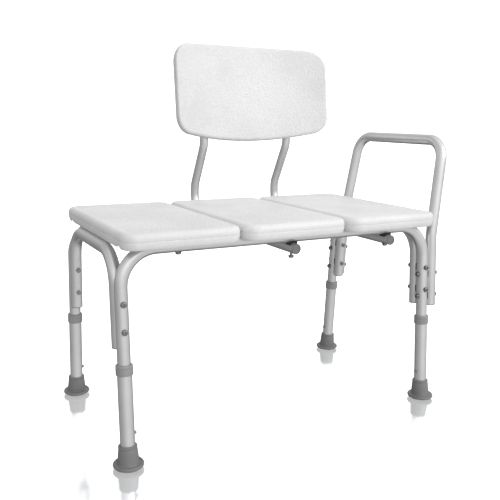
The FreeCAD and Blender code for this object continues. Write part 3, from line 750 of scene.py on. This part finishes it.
def collar_skin(matrix):
    """Grey collar round the top of a sliding leg, with a lip that stops on the tube's end."""
    low, high, outer = COLLAR_START, COLLAR_END, COLLAR_RADIUS
    profile = [
        (14.35, low + 0.3), (14.6, low), (outer - 0.9, low), (outer - 0.2, low + 0.5), (outer, low + 1.3),
        (outer, high - 7.0), (outer - 0.45, high - 6.6), (outer - 0.45, high - 5.9), (outer, high - 5.5),
        (outer, high - 1.9), (outer - 0.4, high - 0.8), (outer - 1.4, high), (13.3, high),
        (13.05, high - 0.3), (13.05, TUBE_END + 0.2), (14.35, TUBE_END + 0.2),
    ]
    return Skin().stack(turned_rings(profile, lambda height: matrix), closed=True)


def leg_tube_skin(matrix):
    """Outer sliding tube of a leg."""
    start = matrix @ Vector((0, 0, TUBE_START))
    end = matrix @ Vector((0, 0, TUBE_END))
    return tube_skin([start, start.lerp(end, 0.5), end], [1.0], LEG_TUBE, (LEG_TUBE - LEG_BORE) / 2)


for leg_name, (side, row) in LEGS.items():
    body = "leg_" + leg_name
    matrix = leg_matrix(side, row)
    holes = []
    for step in range(HOLE_COUNT):
        height = LOCK_HEIGHT + step * HOLE_PITCH
        holes.append(leg_rod(side, row, HOLE_RADIUS, (-side * 8, 0, height), (-side * 20, 0, height)))
    add_piece(
        "sliding_tube_" + leg_name, leg_tube_skin(matrix), body, "leg_tube", ["leg_tube_" + leg_name], holes,
    )
    add_piece(
        "collar_" + leg_name, collar_skin(matrix), body, "grey_plastic", ["leg_collar_" + leg_name],
        look=COLLAR_LOOK,
    )
    add_piece("foot_" + leg_name, foot_skin(side, row), body, "grey_rubber", ["rubber_foot_" + leg_name])

# Camera, floor and light ---------------------------------------------------------------------
CAMERA_AT = (-729.24, -1340.74, 662.8)
YAW, PITCH, ROLL = math.radians(28.504), math.radians(11.264), math.radians(0.788)
FOCAL_SHARE = 669.3 / 500.0
SENSOR = 36.0

forward = Vector((math.sin(YAW) * math.cos(PITCH), math.cos(YAW) * math.cos(PITCH), -math.sin(PITCH)))
level = Vector((math.cos(YAW), -math.sin(YAW), 0.0))
above = level.cross(forward)
camera_x = math.cos(ROLL) * level + math.sin(ROLL) * above
camera_y = -math.sin(ROLL) * level + math.cos(ROLL) * above
camera_data = bpy.data.cameras.new("camera")
camera_data.sensor_width = SENSOR
camera_data.lens = SENSOR * FOCAL_SHARE
camera_data.clip_end = 50.0
camera = bpy.data.objects.new("camera", camera_data)
camera.matrix_world = Matrix.Translation(place(CAMERA_AT)) @ Matrix(
    (camera_x, camera_y, -forward)
).transposed().to_4x4()
bpy.context.scene.collection.objects.link(camera)
bpy.context.scene.camera = camera
bpy.context.scene.view_settings.view_transform = "Standard"


def stage_mesh(name, corners, faces):
    mesh = bpy.data.meshes.new(name)
    mesh.from_pydata(corners, [], faces)
    mesh.uv_layers.new(name="flat")
    item = bpy.data.objects.new(name, mesh)
    bpy.context.scene.collection.objects.link(item)
    return item


FLOOR_TINT, FLOOR_ROUGH = (0.95, 0.98, 1.0, 1.0), 0.1
FLOOR_FADE = {"From Min": 0.045, "From Max": 0.16, "To Min": 0.76, "To Max": 0.0}
MIRROR_REACH = Vector((-28.6, -52.7, 0.0))
FLOOR_HALF = 30.0


def mirror_distance(tree):
    """Distance in metres from a floor point to the nearest foot's mirror patch."""
    coordinates = tree.nodes.new("ShaderNodeTexCoord")
    distances = []
    for side, row in LEGS.values():
        foot = Vector((side * LEG_X, row * LEG_FLOOR_Y, 0.0))
        distance = tree.nodes.new("ShaderNodeVectorMath")
        distance.operation = "DISTANCE"
        distance.inputs[1].default_value = place(foot + MIRROR_REACH)
        tree.links.new(coordinates.outputs["Object"], distance.inputs[0])
        distances.append(distance.outputs["Value"])
    nearest = distances[0]
    for distance in distances[1:]:
        nearest = combine(tree, "MINIMUM", nearest, distance)
    return nearest


def floor_material():
    """White studio floor: clear on to the white surround, with a soft mirror patch by each foot."""
    material, tree, surface = bare_material("studio_floor")
    clear = tree.nodes.new("ShaderNodeBsdfTransparent")
    gloss = tree.nodes.new("ShaderNodeBsdfGlossy")
    gloss.inputs["Color"].default_value = FLOOR_TINT
    gloss.inputs["Roughness"].default_value = FLOOR_ROUGH
    fade = tree.nodes.new("ShaderNodeMapRange")
    fade.interpolation_type = "SMOOTHSTEP"
    for socket, value in FLOOR_FADE.items():
        fade.inputs[socket].default_value = value
    tree.links.new(mirror_distance(tree), fade.inputs["Value"])
    geometry = tree.nodes.new("ShaderNodeNewGeometry")
    front_face = combine(tree, "SUBTRACT", 1.0, geometry.outputs["Backfacing"])
    mix = tree.nodes.new("ShaderNodeMixShader")
    tree.links.new(combine(tree, "MULTIPLY", front_face, fade.outputs["Result"]), mix.inputs["Fac"])
    tree.links.new(clear.outputs["BSDF"], mix.inputs[1])
    tree.links.new(gloss.outputs["BSDF"], mix.inputs[2])
    tree.links.new(mix.outputs["Shader"], surface)
    return material


def hide_from_light(item):
    """Only the camera sees a stage object; it neither lights nor shades the bench."""
    item.visible_diffuse = False
    item.visible_glossy = False
    item.visible_shadow = False


FLOOR_CORNERS = [(x * FLOOR_HALF, y * FLOOR_HALF, 0) for x, y in ((-1, -1), (1, -1), (1, 1), (-1, 1))]
floor = stage_mesh("floor", FLOOR_CORNERS, [(0, 1, 2, 3)])
floor.data.materials.append(floor_material())
hide_from_light(floor)

# Studio: a white surround to look at, and a graded one that lights the bench -----------------
STUDIO_TURN, STUDIO_TILT = math.radians(28.5), math.radians(45.0)
WORLD_BY_HEIGHT = ((0.0, 0.54), (0.2, 0.56), (0.3, 0.56), (0.37, 0.5), (0.45, 0.5), (0.54, 0.66), (0.62, 1.0),
                   (0.72, 1.0), (0.85, 0.76), (1.0, 0.76))
WORLD_BY_SIDE = ((0.0, 0.44), (0.25, 0.57), (0.5, 0.84), (0.78, 1.0), (1.0, 0.84))
WORLD_BY_DEPTH = ((0.0, 1.0), (0.5, 0.92), (0.78, 0.62), (0.9, 0.7), (0.97, 1.0))
WORLD_BEHIND_BELOW = ((0.0, 1.0), (0.78, 1.0), (0.9, 0.35), (1.0, 0.12))
WORLD_STRENGTH = 1.62


def world_gradient():
    """Light by direction: brightest just above level and to the right, dim to the left and below."""
    world = bpy.data.worlds.new("studio")
    bpy.context.scene.world = world
    world.use_nodes = True
    tree = world.node_tree
    background = tree.nodes["Background"]
    coordinates = tree.nodes.new("ShaderNodeTexCoord")
    turned = tree.nodes.new("ShaderNodeMapping")
    turned.inputs["Rotation"].default_value = (0.0, 0.0, STUDIO_TURN)
    tree.links.new(coordinates.outputs["Generated"], turned.inputs["Vector"])
    tilted = tree.nodes.new("ShaderNodeMapping")
    tilted.inputs["Rotation"].default_value = (STUDIO_TILT, 0.0, 0.0)
    tree.links.new(turned.outputs["Vector"], tilted.inputs["Vector"])
    upright = tree.nodes.new("ShaderNodeSeparateXYZ")
    slope = tree.nodes.new("ShaderNodeSeparateXYZ")
    tree.links.new(turned.outputs["Vector"], upright.inputs["Vector"])
    tree.links.new(tilted.outputs["Vector"], slope.inputs["Vector"])

    def ramp(source, stops):
        spread_over = tree.nodes.new("ShaderNodeMapRange")
        spread_over.inputs["From Min"].default_value = -1.0
        spread_over.inputs["From Max"].default_value = 1.0
        tree.links.new(source, spread_over.inputs["Value"])
        node = tree.nodes.new("ShaderNodeValToRGB")
        elements = node.color_ramp.elements
        while len(elements) < len(stops):
            elements.new(0.5)
        for element, (position, value) in zip(elements, stops):
            element.position = position
            element.color = (value, value, value, 1.0)
        tree.links.new(spread_over.outputs["Result"], node.inputs["Fac"])
        return node.outputs["Color"]

    product = ramp(upright.outputs["Z"], WORLD_BY_HEIGHT)
    others = (
        (upright.outputs["X"], WORLD_BY_SIDE),
        (upright.outputs["Y"], WORLD_BY_DEPTH),
        (slope.outputs["Y"], WORLD_BEHIND_BELOW),
    )
    for source, stops in others:
        mix = tree.nodes.new("ShaderNodeMix")
        mix.data_type = "RGBA"
        mix.blend_type = "MULTIPLY"
        mix.inputs[0].default_value = 1.0
        tree.links.new(product, mix.inputs[6])
        tree.links.new(ramp(source, stops), mix.inputs[7])
        product = mix.outputs[2]
    tree.links.new(product, background.inputs["Color"])
    background.inputs["Strength"].default_value = WORLD_STRENGTH


world_gradient()

DOME_RADIUS, DOME_RINGS, DOME_STEPS = 28.0, 8, 24
DOME_GLOW = 1.7


def dome_mesh():
    """Corners and faces of the white ball that surrounds the stage."""
    points, faces = [], []
    for ring in range(DOME_RINGS + 1):
        tilt = math.pi * ring / DOME_RINGS
        points += [
            (DOME_RADIUS * math.sin(tilt) * x, DOME_RADIUS * math.sin(tilt) * y, DOME_RADIUS * math.cos(tilt))
            for x, y in circle(1.0, DOME_STEPS)
        ]
    for ring in range(DOME_RINGS):
        low, high = ring * DOME_STEPS, (ring + 1) * DOME_STEPS
        for step in range(DOME_STEPS):
            after = (step + 1) % DOME_STEPS
            faces.append((low + step, low + after, high + after, high + step))
    return points, faces


dome = stage_mesh("surround", *dome_mesh())
dome_white, dome_tree, dome_surface = bare_material("surround_white")
dome_emission = dome_tree.nodes.new("ShaderNodeEmission")
dome_emission.inputs["Strength"].default_value = DOME_GLOW
dome_tree.links.new(dome_emission.outputs["Emission"], dome_surface)
dome.data.materials.append(dome_white)
hide_from_light(dome)


def softbox(name, at, aim, width, height, power):
    light = bpy.data.lights.new(name, "AREA")
    light.shape = "RECTANGLE"
    light.size, light.size_y = width, height
    light.energy = power
    lamp = bpy.data.objects.new(name, light)
    lamp.location = at
    lamp.rotation_euler = (Vector(aim) - Vector(at)).to_track_quat("-Z", "Y").to_euler()
    lamp.visible_camera = False
    bpy.context.scene.collection.objects.link(lamp)


softbox("key", (1.6, -2.4, 2.2), (0.0, 0.0, 0.4), 1.6, 1.6, 24.0)
softbox("top", (0.2, 0.2, 2.6), (0.0, 0.0, 0.4), 2.0, 1.6, 2.0)
